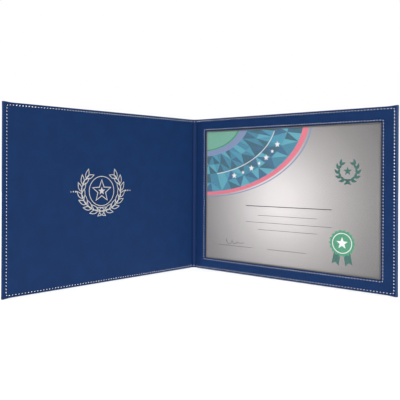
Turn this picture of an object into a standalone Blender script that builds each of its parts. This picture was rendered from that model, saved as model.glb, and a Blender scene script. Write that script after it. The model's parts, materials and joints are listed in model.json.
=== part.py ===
"""A hinged certificate holder, standing open in a V.

Two stiff covers in turned-over leatherette are creased on either side of a flat
spine. The front cover has a plain lining. The back cover carries a pocket with a
leatherette window frame, a clear window and one certificate.

Lengths are in metres. +Z is up, the V opens towards -Y, the front cover is on -X and
the back cover on +X. The origin is at the middle of the holder's footprint, on the
surface that it stands on.

Each cover is built flat beside its own crease: u is the distance from the crease's
axis, w the height above the cover's outer face towards its inner side, and z is up.
"""

import math

import bmesh
import bpy
from mathutils import Matrix

MM = 0.001

# The certificate and how its pocket covers it
SHEET_WIDTH = 279.4 * MM
SHEET_HEIGHT = 215.9 * MM
SHEET_THICKNESS = 0.3 * MM
FRAME_OVER_SHEET_SIDE = 7.5 * MM
FRAME_OVER_SHEET_END = 12.1 * MM
SHEET_TO_CREASE = 14.2 * MM
SHEET_TO_OUTER_EDGE = 11.4 * MM
SHEET_TO_HEAD = 6.55 * MM
SHEET_CLEARANCE = 0.75 * MM

# How far each cover leans out of the spine's plane
LEAN_DEG = 40.8

# Layers, from the outer face inwards, with a glue gap between each two
SKIN = 0.7 * MM
BOARD = 1.5 * MM
LINING = 0.7 * MM
POCKET_LINING = 0.3 * MM
CLEAR_WINDOW = 0.3 * MM
FRAME_CARD = 0.3 * MM
FRAME_SKIN = 0.65 * MM
GLUE = 0.15 * MM

# The skin's turned-in edges
TURN_IN = 0.6 * MM
TURN_IN_WIDTH = 12.0 * MM
LAYER_INSET = 0.3 * MM
CORNER_RADIUS = 1.5 * MM
OUTER_ROUND = 0.5 * MM
INNER_ROUND = 0.35 * MM

# The creases and the grooves beside them
AXIS_ABOVE_SKIN = 0.1 * MM
BEAD_UNDERCUT = 0.05 * MM
JOINT_CLEARANCE = 0.2 * MM
GROOVE_LINING = 0.5 * MM
BOARD_TO_CREASE = 4.25 * MM
GROOVE_SLOPE = 1.0 * MM
FRAME_TO_BOARD = 0.45 * MM

# The spine
SPINE_STRIP = 0.5 * MM
SPINE_STRIP_WIDTH = 3.4 * MM
SPINE_SHOULDER = 0.25 * MM

# Sewing thread
THREAD_DIAMETER = 0.5 * MM
THREAD_PROUD = 0.2 * MM
THREAD_CLEARANCE = 0.1 * MM
THREAD_TO_EDGE = 2.8 * MM
THREAD_TO_WINDOW = 3.0 * MM
THREAD_CORNER_RADIUS = 1.5 * MM

# The window
WINDOW_CORNER_RADIUS = 1.5 * MM
CLEAR_WINDOW_MARGIN = 8.0 * MM
CARD_IN_WINDOW = 0.4 * MM
CARD_TO_SLOT = 1.0 * MM

# Clear space between the closed covers, past the two rows of thread that meet there
CLOSED_CLEARANCE = 0.15 * MM

# Sizes that follow from those
PANEL_WIDTH = SHEET_TO_CREASE + SHEET_WIDTH + SHEET_TO_OUTER_EDGE
PANEL_HEIGHT = SHEET_HEIGHT + 2 * SHEET_TO_HEAD
WINDOW_WIDTH = SHEET_WIDTH - 2 * FRAME_OVER_SHEET_SIDE
WINDOW_HEIGHT = SHEET_HEIGHT - 2 * FRAME_OVER_SHEET_END
WINDOW_START = SHEET_TO_CREASE + FRAME_OVER_SHEET_SIDE
WINDOW_SILL = SHEET_TO_HEAD + FRAME_OVER_SHEET_END

BOARD_BASE = SKIN + GLUE
BOARD_TOP = BOARD_BASE + BOARD
LINING_BASE = BOARD_TOP + GLUE
FRONT_TOP = LINING_BASE + LINING
POCKET_TOP = LINING_BASE + POCKET_LINING
SHEET_BASE = POCKET_TOP + GLUE
CLEAR_WINDOW_BASE = SHEET_BASE + SHEET_THICKNESS + GLUE
CARD_BASE = CLEAR_WINDOW_BASE + CLEAR_WINDOW + GLUE
FRAME_BASE = CARD_BASE + FRAME_CARD + GLUE
BACK_TOP = FRAME_BASE + FRAME_SKIN

AXIS_HEIGHT = SKIN + AXIS_ABOVE_SKIN
BEAD_RADIUS = AXIS_HEIGHT - BEAD_UNDERCUT
SEAT_RADIUS = BEAD_RADIUS + JOINT_CLEARANCE
GROOVE_TOP = BOARD_BASE + GROOVE_LINING
FRONT_FACE_START = BOARD_TO_CREASE - 2 * GLUE
POCKET_FACE_START = BOARD_TO_CREASE - GLUE
FRAME_START = BOARD_TO_CREASE + FRAME_TO_BOARD
RIM = SHEET_TO_HEAD - LAYER_INSET - SHEET_CLEARANCE

CLOSED_GAP = 2 * THREAD_PROUD + CLOSED_CLEARANCE
CREASE_SPACING = (FRONT_TOP - AXIS_HEIGHT) + (BACK_TOP - AXIS_HEIGHT) + CLOSED_GAP
CREASE_HALF = CREASE_SPACING / 2
SPINE_LINING_BASE = BOARD_BASE + SPINE_STRIP + GLUE
SPINE_TOP = SPINE_LINING_BASE + LINING
SPINE_STRIP_HALF = SPINE_STRIP_WIDTH / 2
SPINE_SHOULDER_X = SPINE_STRIP_HALF + GLUE + SPINE_SHOULDER

LEAN = math.radians(LEAN_DEG)
THREAD_RADIUS = THREAD_DIAMETER / 2
THREAD_DEPTH = THREAD_RADIUS - THREAD_PROUD
THREAD_START = SEAT_RADIUS + THREAD_CLEARANCE

# Segments in round shapes, the sharpest bend that is shaded smooth, how far a cutter
# runs past what it cuts, and how near two points count as one
ARC_STEPS = 4
RIM_STEPS = 2
BEAD_SEGMENTS = 24
TUBE_RESOLUTION = 2
SMOOTH_ANGLE = math.radians(50.0)
OVERCUT = 5.0 * MM
SAME_PLACE = 0.01 * MM
SAME_POINT = 0.001 * MM

# Front and back covers run to either side of the spine
FRONT = -1
BACK = 1


def clear_scene():
    for obj in list(bpy.data.objects):
        bpy.data.objects.remove(obj, do_unlink=True)


def new_collection(name):
    collection = bpy.data.collections.new(name)
    bpy.context.scene.collection.children.link(collection)
    return collection


def make_material(name, colour, roughness, alpha=1.0):
    material = bpy.data.materials.new(name)
    material.use_nodes = True
    shader = material.node_tree.nodes["Principled BSDF"]
    shader.inputs["Base Color"].default_value = (*colour, 1.0)
    shader.inputs["Roughness"].default_value = roughness
    shader.inputs["Metallic"].default_value = 0.0
    shader.inputs["Alpha"].default_value = alpha
    material.diffuse_color = (*colour, alpha)
    return material


def link_mesh(name, bm, home):
    """A new object from a bmesh, in the collection and under the empty of home."""
    bmesh.ops.recalc_face_normals(bm, faces=bm.faces)
    mesh = bpy.data.meshes.new(name)
    bm.to_mesh(mesh)
    bm.free()
    obj = bpy.data.objects.new(name, mesh)
    home["collection"].objects.link(obj)
    obj.parent = home["empty"]
    return obj


def finish(obj, material):
    obj.data.materials.append(material)
    return obj


def shade_round(obj):
    """Shades a mesh smooth, except across its real edges."""
    obj.data.shade_smooth()
    obj.data.set_sharp_from_angle(angle=SMOOTH_ANGLE)
    return obj


def make_cutter(obj):
    obj.hide_render = True
    obj.display_type = "WIRE"
    return obj


def combine(obj, other, operation):
    modifier = obj.modifiers.new(f"{operation.title()} {other.name}", "BOOLEAN")
    modifier.operation = operation
    modifier.object = other
    modifier.solver = "EXACT"


def cut(obj, *cutters):
    for cutter in cutters:
        combine(obj, cutter, "DIFFERENCE")


def block_bmesh(side, u, w, z):
    """A box in a cover's own coordinates: each of u, w and z is a (low, high) pair."""
    bm = bmesh.new()
    x = sorted((side * u[0], side * u[1]))
    y = sorted((AXIS_HEIGHT - w[0], AXIS_HEIGHT - w[1]))
    lows = (x[0], y[0], z[0])
    highs = (x[1], y[1], z[1])
    middle = [(low + high) / 2 for low, high in zip(lows, highs)]
    spans = [high - low for low, high in zip(lows, highs)]
    place = Matrix.Translation(middle) @ Matrix.Diagonal((*spans, 1.0))
    bmesh.ops.create_cube(bm, size=1.0, matrix=place)
    return bm


def bevel(bm, edges, radius, steps):
    bmesh.ops.bevel(
        bm,
        geom=edges,
        offset=radius,
        offset_type="OFFSET",
        segments=steps,
        profile=0.5,
        affect="EDGES",
        clamp_overlap=True,
        loop_slide=True,
    )


def near(a, b):
    return abs(a - b) < SAME_PLACE


def round_plan_corners(bm, x_edges, z_low, z_high, radius):
    """Rounds the corners of a slab as seen from its face, at each x in x_edges."""
    for x in x_edges:
        for z in (z_low, z_high):
            edges = [
                e for e in bm.edges if all(near(v.co.x, x) and near(v.co.z, z) for v in e.verts)
            ]
            bevel(bm, edges, radius, ARC_STEPS)


def round_rim(bm, y, crease_x, radius):
    """Rounds the edges of the face at y, except the one that lies along crease_x."""
    edges = [
        e
        for e in bm.edges
        if all(near(v.co.y, y) for v in e.verts)
        and not all(near(v.co.x, crease_x) for v in e.verts)
    ]
    bevel(bm, edges, radius, RIM_STEPS)


def slab(name, side, u, w, z, home):
    return link_mesh(name, block_bmesh(side, u, w, z), home)


def mesh_of_curve(obj, home):
    """Replaces a curve object by the closed mesh of its solid."""
    bpy.context.view_layer.update()
    graph = bpy.context.evaluated_depsgraph_get()
    mesh = bpy.data.meshes.new_from_object(obj.evaluated_get(graph))
    bm = bmesh.new()
    bm.from_mesh(mesh)
    bmesh.ops.remove_doubles(bm, verts=bm.verts, dist=SAME_POINT)
    name = obj.name
    bpy.data.objects.remove(obj, do_unlink=True)
    return link_mesh(name, bm, home)


def prism(name, outline, z, home):
    """A flat outline of (x, y) points, extruded from the first to the second z."""
    curve = bpy.data.curves.new(name, "CURVE")
    curve.dimensions = "2D"
    curve.fill_mode = "BOTH"
    curve.extrude = (z[1] - z[0]) / 2
    spline = curve.splines.new("POLY")
    spline.points.add(len(outline) - 1)
    for point, (x, y) in zip(spline.points, outline):
        point.co = (x, y, 0.0, 1.0)
    spline.use_cyclic_u = True
    obj = bpy.data.objects.new(name, curve)
    home["collection"].objects.link(obj)
    made = mesh_of_curve(obj, home)
    made.data.transform(Matrix.Translation((0.0, 0.0, (z[0] + z[1]) / 2)))
    return made


def tube(name, points, radius, home, cyclic=False):
    """A round thread or its channel, along (x, y, z) points."""
    curve = bpy.data.curves.new(name, "CURVE")
    curve.dimensions = "3D"
    curve.bevel_depth = radius
    curve.bevel_resolution = TUBE_RESOLUTION
    curve.use_fill_caps = not cyclic
    spline = curve.splines.new("POLY")
    spline.points.add(len(points) - 1)
    for point, place in zip(spline.points, points):
        point.co = (*place, 1.0)
    spline.use_cyclic_u = cyclic
    obj = bpy.data.objects.new(name, curve)
    home["collection"].objects.link(obj)
    obj.parent = home["empty"]
    return obj


def arc(centre, radius, start_deg, end_deg, steps=ARC_STEPS):
    """Points on a circle in a plane, from one angle to the other."""
    found = []
    for n in range(steps + 1):
        angle = math.radians(start_deg + (end_deg - start_deg) * n / steps)
        found.append(
            (
                centre[0] + radius * math.cos(angle),
                centre[1] + radius * math.sin(angle),
            )
        )
    return found


def cover_point(side, u, w, z):
    return (side * u, AXIS_HEIGHT - w, z)


# Rows of thread


def edge_row(side, near_crease, face_w):
    """A row of thread round a cover's three free edges.

    near_crease lists (u, w) places along the row from the crease to where the cover's
    face begins, and face_w is the thread's height over the rest of the row.
    """
    far = PANEL_WIDTH - THREAD_TO_EDGE
    head = PANEL_HEIGHT - THREAD_TO_EDGE
    tail = THREAD_TO_EDGE
    r = THREAD_CORNER_RADIUS
    row = [(u, w, tail) for u, w in near_crease]
    row += [(u, face_w, z) for u, z in arc((far - r, tail + r), r, -90, 0)]
    row += [(u, face_w, z) for u, z in arc((far - r, head - r), r, 0, 90)]
    row += [(u, w, head) for u, w in reversed(near_crease)]
    return [cover_point(side, u, w, z) for u, w, z in row]


def inner_row(side, slope, top):
    """The row on a cover's inner face. slope is (u at the groove, u at the face)."""
    in_groove = GROOVE_TOP - THREAD_DEPTH
    on_face = top - THREAD_DEPTH
    near_crease = [
        (THREAD_START, in_groove),
        (slope[0], in_groove),
        (slope[1], on_face),
    ]
    return edge_row(side, near_crease, on_face)


def outer_row(side):
    in_skin = THREAD_DEPTH
    return edge_row(side, [(THREAD_START, in_skin)], in_skin)


def window_row():
    """The closed row of thread round the window, on the frame's face."""
    w = BACK_TOP - THREAD_DEPTH
    low_u = WINDOW_START - THREAD_TO_WINDOW
    high_u = WINDOW_START + WINDOW_WIDTH + THREAD_TO_WINDOW
    low_z = WINDOW_SILL - THREAD_TO_WINDOW
    high_z = WINDOW_SILL + WINDOW_HEIGHT + THREAD_TO_WINDOW
    r = THREAD_CORNER_RADIUS
    row = arc((low_u + r, low_z + r), r, 180, 270)
    row += arc((high_u - r, low_z + r), r, 270, 360)
    row += arc((high_u - r, high_z - r), r, 0, 90)
    row += arc((low_u + r, high_z - r), r, 90, 180)
    return [cover_point(BACK, u, w, z) for u, z in row]


def spine_inner_row(z):
    """The short row over the spine's lining, from crease to crease."""
    end = CREASE_HALF - THREAD_START
    in_groove = AXIS_HEIGHT - (GROOVE_TOP - THREAD_DEPTH)
    on_spine = AXIS_HEIGHT - (SPINE_TOP - THREAD_DEPTH)
    return [
        (-end, in_groove, z),
        (-SPINE_SHOULDER_X, on_spine, z),
        (SPINE_SHOULDER_X, on_spine, z),
        (end, in_groove, z),
    ]


def spine_outer_row(z):
    end = CREASE_HALF - THREAD_START
    y = AXIS_HEIGHT - THREAD_DEPTH
    return [(-end, y, z), (end, y, z)]


def sew(name, points, carriers, homes, material, cyclic=False):
    """Lays a thread along points and sinks its channel into each of the carriers."""
    thread = tube(name, points, THREAD_RADIUS, homes["parts"], cyclic)
    finish(thread, material)
    for carrier in carriers:
        channel = tube(
            f"channel_{name}_{carrier.name}",
            points,
            THREAD_RADIUS + THREAD_CLEARANCE,
            homes["cutters"],
            cyclic,
        )
        channel = make_cutter(mesh_of_curve(channel, homes["cutters"]))
        cut(carrier, channel)
    return thread


# The covers


def cover_skin(name, side, homes, material):
    """Outer leatherette, turned over the board's three free edges, seated on the crease."""
    bm = block_bmesh(side, (0.0, PANEL_WIDTH), (0.0, BOARD_TOP), (0.0, PANEL_HEIGHT))
    round_plan_corners(bm, [side * PANEL_WIDTH], 0.0, PANEL_HEIGHT, CORNER_RADIUS)
    round_rim(bm, AXIS_HEIGHT, 0.0, OUTER_ROUND)
    skin = shade_round(link_mesh(name, bm, homes["parts"]))
    cutters = homes["cutters"]
    board_space = slab(
        f"{name}_board_space",
        side,
        (-OVERCUT, PANEL_WIDTH - SKIN),
        (SKIN, BOARD_TOP - TURN_IN),
        (SKIN, PANEL_HEIGHT - SKIN),
        cutters,
    )
    inside = slab(
        f"{name}_inside",
        side,
        (-OVERCUT, PANEL_WIDTH - TURN_IN_WIDTH),
        (SKIN, BOARD_TOP + OVERCUT),
        (TURN_IN_WIDTH, PANEL_HEIGHT - TURN_IN_WIDTH),
        cutters,
    )
    groove = slab(
        f"{name}_groove",
        side,
        (-OVERCUT, BOARD_TO_CREASE),
        (SKIN, BOARD_TOP + OVERCUT),
        (-OVERCUT, PANEL_HEIGHT + OVERCUT),
        cutters,
    )
    seat = crease_cylinder(
        f"{name}_seat", 0.0, SEAT_RADIUS, (-OVERCUT, PANEL_HEIGHT + OVERCUT), cutters
    )
    for cutter in (board_space, inside, groove, seat):
        cut(skin, make_cutter(cutter))
    return finish(skin, material)


def crease_cylinder(name, x, radius, z, home):
    """A cylinder along a crease's axis, at x from the empty's own axis."""
    bm = bmesh.new()
    bmesh.ops.create_cone(
        bm,
        cap_ends=True,
        segments=BEAD_SEGMENTS,
        radius1=radius,
        radius2=radius,
        depth=z[1] - z[0],
        matrix=Matrix.Translation((x, 0.0, (z[0] + z[1]) / 2)),
    )
    return shade_round(link_mesh(name, bm, home))


def cover_board(name, side, homes, material):
    """Stiff board, thinner round its rim where the skin turns in over it."""
    edge = SKIN + GLUE
    inner_edge = TURN_IN_WIDTH + GLUE
    board = slab(
        name,
        side,
        (BOARD_TO_CREASE, PANEL_WIDTH - edge),
        (BOARD_BASE, BOARD_TOP - TURN_IN - GLUE),
        (edge, PANEL_HEIGHT - edge),
        homes["parts"],
    )
    field = slab(
        f"{name}_field",
        side,
        (BOARD_TO_CREASE, PANEL_WIDTH - inner_edge),
        (BOARD_BASE, BOARD_TOP),
        (inner_edge, PANEL_HEIGHT - inner_edge),
        homes["cutters"],
    )
    combine(board, make_cutter(field), "UNION")
    return finish(board, material)


def lining_outline(side, thickness, slope_end):
    """A lining's section: from the groove beside the crease, up a slope, to the edge."""
    base = LINING_BASE
    top = base + thickness
    groove_u = slope_end - GROOVE_SLOPE
    far = PANEL_WIDTH - LAYER_INSET
    points = [
        (SEAT_RADIUS, BOARD_BASE),
        (groove_u + GROOVE_LINING, BOARD_BASE),
        (POCKET_FACE_START, base),
        (far, base),
        (far, top),
        (slope_end, top),
        (groove_u, GROOVE_TOP),
        (SEAT_RADIUS, GROOVE_TOP),
    ]
    return [(side * u, AXIS_HEIGHT - w) for u, w in points]


def lining(name, side, thickness, slope_end, edge_round, homes, material):
    """A cover's lining. edge_round is the radius of its inner face's edge, or 0."""
    z = (LAYER_INSET, PANEL_HEIGHT - LAYER_INSET)
    outline = lining_outline(side, thickness, slope_end)
    made = prism(name, outline, z, homes["parts"])
    bm = bmesh.new()
    bm.from_mesh(made.data)
    far = side * (PANEL_WIDTH - LAYER_INSET)
    round_plan_corners(bm, [far], z[0], z[1], CORNER_RADIUS - LAYER_INSET)
    if edge_round:
        top_y = AXIS_HEIGHT - LINING_BASE - thickness
        round_rim(bm, top_y, side * slope_end, edge_round)
    bm.to_mesh(made.data)
    bm.free()
    return finish(shade_round(made), material)


def window_cutter(name, margin, w, homes):
    """The window's hole, made larger on every side by margin, with round corners."""
    u = (WINDOW_START - margin, WINDOW_START + WINDOW_WIDTH + margin)
    z = (WINDOW_SILL - margin, WINDOW_SILL + WINDOW_HEIGHT + margin)
    bm = block_bmesh(BACK, u, w, z)
    round_plan_corners(bm, u, z[0], z[1], WINDOW_CORNER_RADIUS)
    return make_cutter(link_mesh(name, bm, homes["cutters"]))


def window_frame(homes, material):
    """Leatherette frame whose turned-under rim closes the pocket on three sides."""
    far = PANEL_WIDTH - LAYER_INSET
    z = (LAYER_INSET, PANEL_HEIGHT - LAYER_INSET)
    bm = block_bmesh(BACK, (FRAME_START, far), (POCKET_TOP + GLUE, BACK_TOP), z)
    round_plan_corners(bm, [far], z[0], z[1], CORNER_RADIUS - LAYER_INSET)
    round_rim(bm, AXIS_HEIGHT - BACK_TOP, FRAME_START, INNER_ROUND)
    frame = shade_round(link_mesh("window_frame", bm, homes["parts"]))
    pocket = slab(
        "window_frame_pocket",
        BACK,
        (-OVERCUT, far - RIM),
        (-OVERCUT, FRAME_BASE),
        (z[0] + RIM, z[1] - RIM),
        homes["cutters"],
    )
    hole = window_cutter("window_frame_hole", 0.0, (-OVERCUT, BACK_TOP + OVERCUT), homes)
    cut(frame, make_cutter(pocket), hole)
    return finish(frame, material)


def window_backing(homes, material):
    """Thin card behind the frame, whose cut edge shows inside the window."""
    edge = LAYER_INSET + RIM + GLUE
    card = slab(
        "window_backing",
        BACK,
        (FRAME_START + CARD_TO_SLOT, PANEL_WIDTH - edge),
        (CARD_BASE, CARD_BASE + FRAME_CARD),
        (edge, PANEL_HEIGHT - edge),
        homes["parts"],
    )
    hole = window_cutter(
        "window_backing_hole", -CARD_IN_WINDOW, (CARD_BASE - OVERCUT, BACK_TOP + OVERCUT), homes
    )
    cut(card, hole)
    return finish(card, material)


def clear_window(homes, material):
    margin = CLEAR_WINDOW_MARGIN
    sheet = slab(
        "clear_window",
        BACK,
        (WINDOW_START - margin, WINDOW_START + WINDOW_WIDTH + margin),
        (CLEAR_WINDOW_BASE, CLEAR_WINDOW_BASE + CLEAR_WINDOW),
        (WINDOW_SILL - margin, WINDOW_SILL + WINDOW_HEIGHT + margin),
        homes["parts"],
    )
    return finish(sheet, material)


def certificate(homes, material):
    sheet = slab(
        "certificate",
        BACK,
        (SHEET_TO_CREASE, SHEET_TO_CREASE + SHEET_WIDTH),
        (SHEET_BASE, SHEET_BASE + SHEET_THICKNESS),
        (SHEET_TO_HEAD, SHEET_TO_HEAD + SHEET_HEIGHT),
        homes["parts"],
    )
    return finish(sheet, material)


# The spine


def spine_skin(homes, material):
    """Outer leatherette of the spine, with a bead along each crease and turned-in ends."""
    cutters = homes["cutters"]
    u = (-CREASE_HALF, CREASE_HALF)
    z = (0.0, PANEL_HEIGHT)
    skin = slab("spine_skin", BACK, u, (0.0, SKIN), z, homes["parts"])
    for side_name, x in (("front", -CREASE_HALF), ("back", CREASE_HALF)):
        bead = crease_cylinder(f"spine_skin_{side_name}_bead", x, BEAD_RADIUS, z, cutters)
        combine(skin, make_cutter(bead), "UNION")
    ends = (("tail", 0.0, SKIN), ("head", PANEL_HEIGHT - SKIN, PANEL_HEIGHT))
    for end_name, low, high in ends:
        wall = slab(
            f"spine_skin_{end_name}_fold",
            BACK,
            (-SPINE_STRIP_HALF, SPINE_STRIP_HALF),
            (0.0, BOARD_BASE + SPINE_STRIP),
            (low, high),
            cutters,
        )
        combine(skin, make_cutter(wall), "UNION")
    return finish(skin, material)


def spine_strip(homes, material):
    edge = SKIN + GLUE
    strip = slab(
        "spine_strip",
        BACK,
        (-SPINE_STRIP_HALF, SPINE_STRIP_HALF),
        (BOARD_BASE, BOARD_BASE + SPINE_STRIP),
        (edge, PANEL_HEIGHT - edge),
        homes["parts"],
    )
    return finish(strip, material)


def spine_lining(homes, material):
    """Inner leatherette over the strip, down to the groove floor on both sides."""
    end = CREASE_HALF - SEAT_RADIUS
    inner = SPINE_STRIP_HALF + GLUE
    under = [
        (end, BOARD_BASE),
        (inner, BOARD_BASE),
        (inner, SPINE_LINING_BASE),
    ]
    over = [
        (SPINE_SHOULDER_X, SPINE_TOP),
        (end, GROOVE_TOP),
    ]
    points = under + [(-x, w) for x, w in reversed(under)]
    points += [(-x, w) for x, w in reversed(over)] + over
    outline = [(x, AXIS_HEIGHT - w) for x, w in points]
    z = (LAYER_INSET, PANEL_HEIGHT - LAYER_INSET)
    return finish(prism("spine_lining", outline, z, homes["parts"]), material)


# The whole holder


def make_materials():
    navy = (0.0123, 0.0395, 0.127)
    thread = (0.42, 0.43, 0.45)
    return {
        "leatherette": make_material("navy_leatherette", navy, 0.55),
        "lining": make_material("navy_lining", navy, 0.5),
        "board": make_material("grey_board", (0.30, 0.28, 0.25), 0.9),
        "pocket": make_material("pocket_cloth", (0.01, 0.02, 0.06), 0.9),
        "card": make_material("frame_card", (0.25, 0.20, 0.15), 0.9),
        "paper": make_material("silver_paper", (0.55, 0.54, 0.53), 0.45),
        "clear": make_material("clear_film", (0.95, 0.96, 0.97), 0.08, alpha=0.25),
        "thread": make_material("silver_thread", thread, 0.6),
    }


def own_material(base, name):
    """A copy of a material for one sub-part."""
    material = base.copy()
    material.name = name
    return material


def new_empty(name, place, turn, parent, collection):
    empty = bpy.data.objects.new(name, None)
    empty.empty_display_size = SHEET_TO_CREASE
    empty.location = place
    empty.rotation_euler = (0.0, 0.0, turn)
    empty.parent = parent
    collection.objects.link(empty)
    return empty


def middle_of_footprint():
    """The y of the middle of the holder's box, measured from the crease axes.

    The spine's outer thread reaches furthest back, and the window frame's rounded
    outer edge furthest forward.
    """
    back_edge = AXIS_HEIGHT + THREAD_PROUD
    u = PANEL_WIDTH - LAYER_INSET - INNER_ROUND
    h = BACK_TOP - AXIS_HEIGHT - INNER_ROUND
    front_edge = -math.sin(LEAN) * u - math.cos(LEAN) * h - INNER_ROUND
    return (back_edge + front_edge) / 2


def build():
    clear_scene()
    parts = new_collection("certificate_holder")
    cutters = new_collection("cutters")
    root = new_empty("holder", (0.0, -middle_of_footprint(), 0.0), 0.0, None, parts)
    front_axis = new_empty("front_crease", (-CREASE_HALF, 0.0, 0.0), LEAN, root, parts)
    back_axis = new_empty("back_crease", (CREASE_HALF, 0.0, 0.0), -LEAN, root, parts)

    def homes_at(empty):
        return {
            "parts": {"collection": parts, "empty": empty},
            "cutters": {"collection": cutters, "empty": empty},
        }

    front = homes_at(front_axis)
    back = homes_at(back_axis)
    spine = homes_at(root)
    looks = make_materials()

    def look(base, name):
        return own_material(looks[base], name)

    front_skin = cover_skin("front_cover_skin", FRONT, front, look("leatherette", "front_skin"))
    cover_board("front_cover_board", FRONT, front, look("board", "front_board"))
    front_lining = lining(
        "front_lining",
        FRONT,
        LINING,
        FRONT_FACE_START,
        INNER_ROUND,
        front,
        look("lining", "front_lining"),
    )

    back_skin = cover_skin("back_cover_skin", BACK, back, look("leatherette", "back_skin"))
    cover_board("back_cover_board", BACK, back, look("board", "back_board"))
    pocket_lining = lining(
        "pocket_lining",
        BACK,
        POCKET_LINING,
        POCKET_FACE_START,
        0.0,
        back,
        look("pocket", "pocket_lining"),
    )
    certificate(back, look("paper", "certificate"))
    clear_window(back, look("clear", "clear_window"))
    window_backing(back, look("card", "window_backing"))
    frame = window_frame(back, look("leatherette", "window_frame"))

    skin_of_spine = spine_skin(spine, look("leatherette", "spine_skin"))
    spine_strip(spine, look("board", "spine_strip"))
    lining_of_spine = spine_lining(spine, look("lining", "spine_lining"))

    front_slope = (FRONT_FACE_START - GROOVE_SLOPE, FRONT_FACE_START)
    back_slope = (POCKET_FACE_START - GROOVE_SLOPE, FRAME_START + GLUE)
    front_row = inner_row(FRONT, front_slope, FRONT_TOP)
    back_row = inner_row(BACK, back_slope, BACK_TOP)
    sew("front_inner_thread", front_row, [front_lining], front, look("thread", "thread_1"))
    sew("front_outer_thread", outer_row(FRONT), [front_skin], front, look("thread", "thread_2"))
    sew(
        "back_inner_thread",
        back_row,
        [pocket_lining, frame],
        back,
        look("thread", "thread_3"),
    )
    sew("back_outer_thread", outer_row(BACK), [back_skin], back, look("thread", "thread_4"))
    sew("window_thread", window_row(), [frame], back, look("thread", "thread_5"), cyclic=True)
    rows = (("tail", THREAD_TO_EDGE), ("head", PANEL_HEIGHT - THREAD_TO_EDGE))
    for end_name, z in rows:
        sew(
            f"spine_{end_name}_inner_thread",
            spine_inner_row(z),
            [lining_of_spine],
            spine,
            look("thread", f"thread_{end_name}_inner"),
        )
        sew(
            f"spine_{end_name}_outer_thread",
            spine_outer_row(z),
            [skin_of_spine],
            spine,
            look("thread", f"thread_{end_name}_outer"),
        )


build()
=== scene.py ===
"""The looks of a leatherette certificate holder that stands open in a V.

Most pieces are laid out on the unrolled cover, in millimetres: u is the distance from the
crease's axis towards the cover's outer edge, and negative on the spine, w is the height
over the outer face towards the inner side, and z is up. place() takes such a point to
where it is while the holder stands open, in metres in the frame's own coordinates.
"""

import json
import math
import random

import bmesh
import bpy
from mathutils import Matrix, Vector
from mathutils.geometry import delaunay_2d_cdt
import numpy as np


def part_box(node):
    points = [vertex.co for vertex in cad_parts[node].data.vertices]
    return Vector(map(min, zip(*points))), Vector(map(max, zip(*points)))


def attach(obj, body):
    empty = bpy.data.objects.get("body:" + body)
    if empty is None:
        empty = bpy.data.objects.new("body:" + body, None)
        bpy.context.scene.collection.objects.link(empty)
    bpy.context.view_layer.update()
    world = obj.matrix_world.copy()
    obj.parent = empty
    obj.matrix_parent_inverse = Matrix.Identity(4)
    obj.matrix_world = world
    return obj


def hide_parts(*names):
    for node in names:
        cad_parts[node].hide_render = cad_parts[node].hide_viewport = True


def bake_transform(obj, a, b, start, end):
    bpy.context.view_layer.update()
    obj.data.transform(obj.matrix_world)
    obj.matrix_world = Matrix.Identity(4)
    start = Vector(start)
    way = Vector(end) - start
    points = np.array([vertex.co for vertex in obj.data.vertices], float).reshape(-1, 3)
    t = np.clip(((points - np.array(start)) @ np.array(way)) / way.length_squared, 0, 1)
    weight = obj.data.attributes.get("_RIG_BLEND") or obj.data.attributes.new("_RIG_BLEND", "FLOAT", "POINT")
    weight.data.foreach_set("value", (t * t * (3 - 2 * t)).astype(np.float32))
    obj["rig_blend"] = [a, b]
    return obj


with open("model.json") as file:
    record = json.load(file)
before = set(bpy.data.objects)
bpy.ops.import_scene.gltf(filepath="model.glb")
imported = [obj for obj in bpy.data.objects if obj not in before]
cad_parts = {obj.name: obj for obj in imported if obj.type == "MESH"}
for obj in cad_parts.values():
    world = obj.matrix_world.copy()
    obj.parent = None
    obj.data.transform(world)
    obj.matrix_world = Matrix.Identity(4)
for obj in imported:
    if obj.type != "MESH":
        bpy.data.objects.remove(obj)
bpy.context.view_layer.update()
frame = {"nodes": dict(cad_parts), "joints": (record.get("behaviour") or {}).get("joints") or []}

MM = 0.001
FRONT = -1
BACK = 1

# The creases, from the frame's joints. The leather bends this far to each side of one.
JOINTS = {joint["name"]: joint for joint in frame["joints"]}
AXIS_X = JOINTS["back_crease"]["pos_m"][0] / MM
AXIS_Y = JOINTS["back_crease"]["pos_m"][1] / MM
SLIDE = JOINTS["certificate_slide"]["axis"]
LEAN = math.atan2(SLIDE[1], -SLIDE[0])
AXIS_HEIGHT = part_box("spine_skin")[1].y / MM - AXIS_Y
BEND = 1.1


def smooth(t):
    """A rise from 0 to 1 that starts and ends level."""
    t = min(1.0, max(0.0, t))
    return t * t * (3 - 2 * t)


def place(side, u, w, z):
    """Where a point of the unrolled cover is while the holder stands open, in metres."""
    turn = LEAN * smooth((u + BEND) / (2 * BEND))
    h = w - AXIS_HEIGHT
    x = AXIS_X + u * math.cos(turn) - h * math.sin(turn)
    y = AXIS_Y - u * math.sin(turn) - h * math.cos(turn)
    return Vector((side * x, y, z)) * MM


def unrolled(side, point):
    """(u, w, z) of a point on a cover: the way back from place()."""
    x = side * point.x / MM - AXIS_X
    y = AXIS_Y - point.y / MM
    u = x * math.cos(LEAN) + y * math.sin(LEAN)
    h = y * math.cos(LEAN) - x * math.sin(LEAN)
    return u, h + AXIS_HEIGHT, point.z / MM


def cover_box(node, side):
    """The lowest and highest (u, w, z) of a CAD node that lies on a cover."""
    obj = frame["nodes"][node]
    places = [unrolled(side, obj.matrix_world @ v.co) for v in obj.data.vertices]
    low = Vector([min(p[n] for p in places) for n in range(3)])
    high = Vector([max(p[n] for p in places) for n in range(3)])
    return low, high


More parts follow.
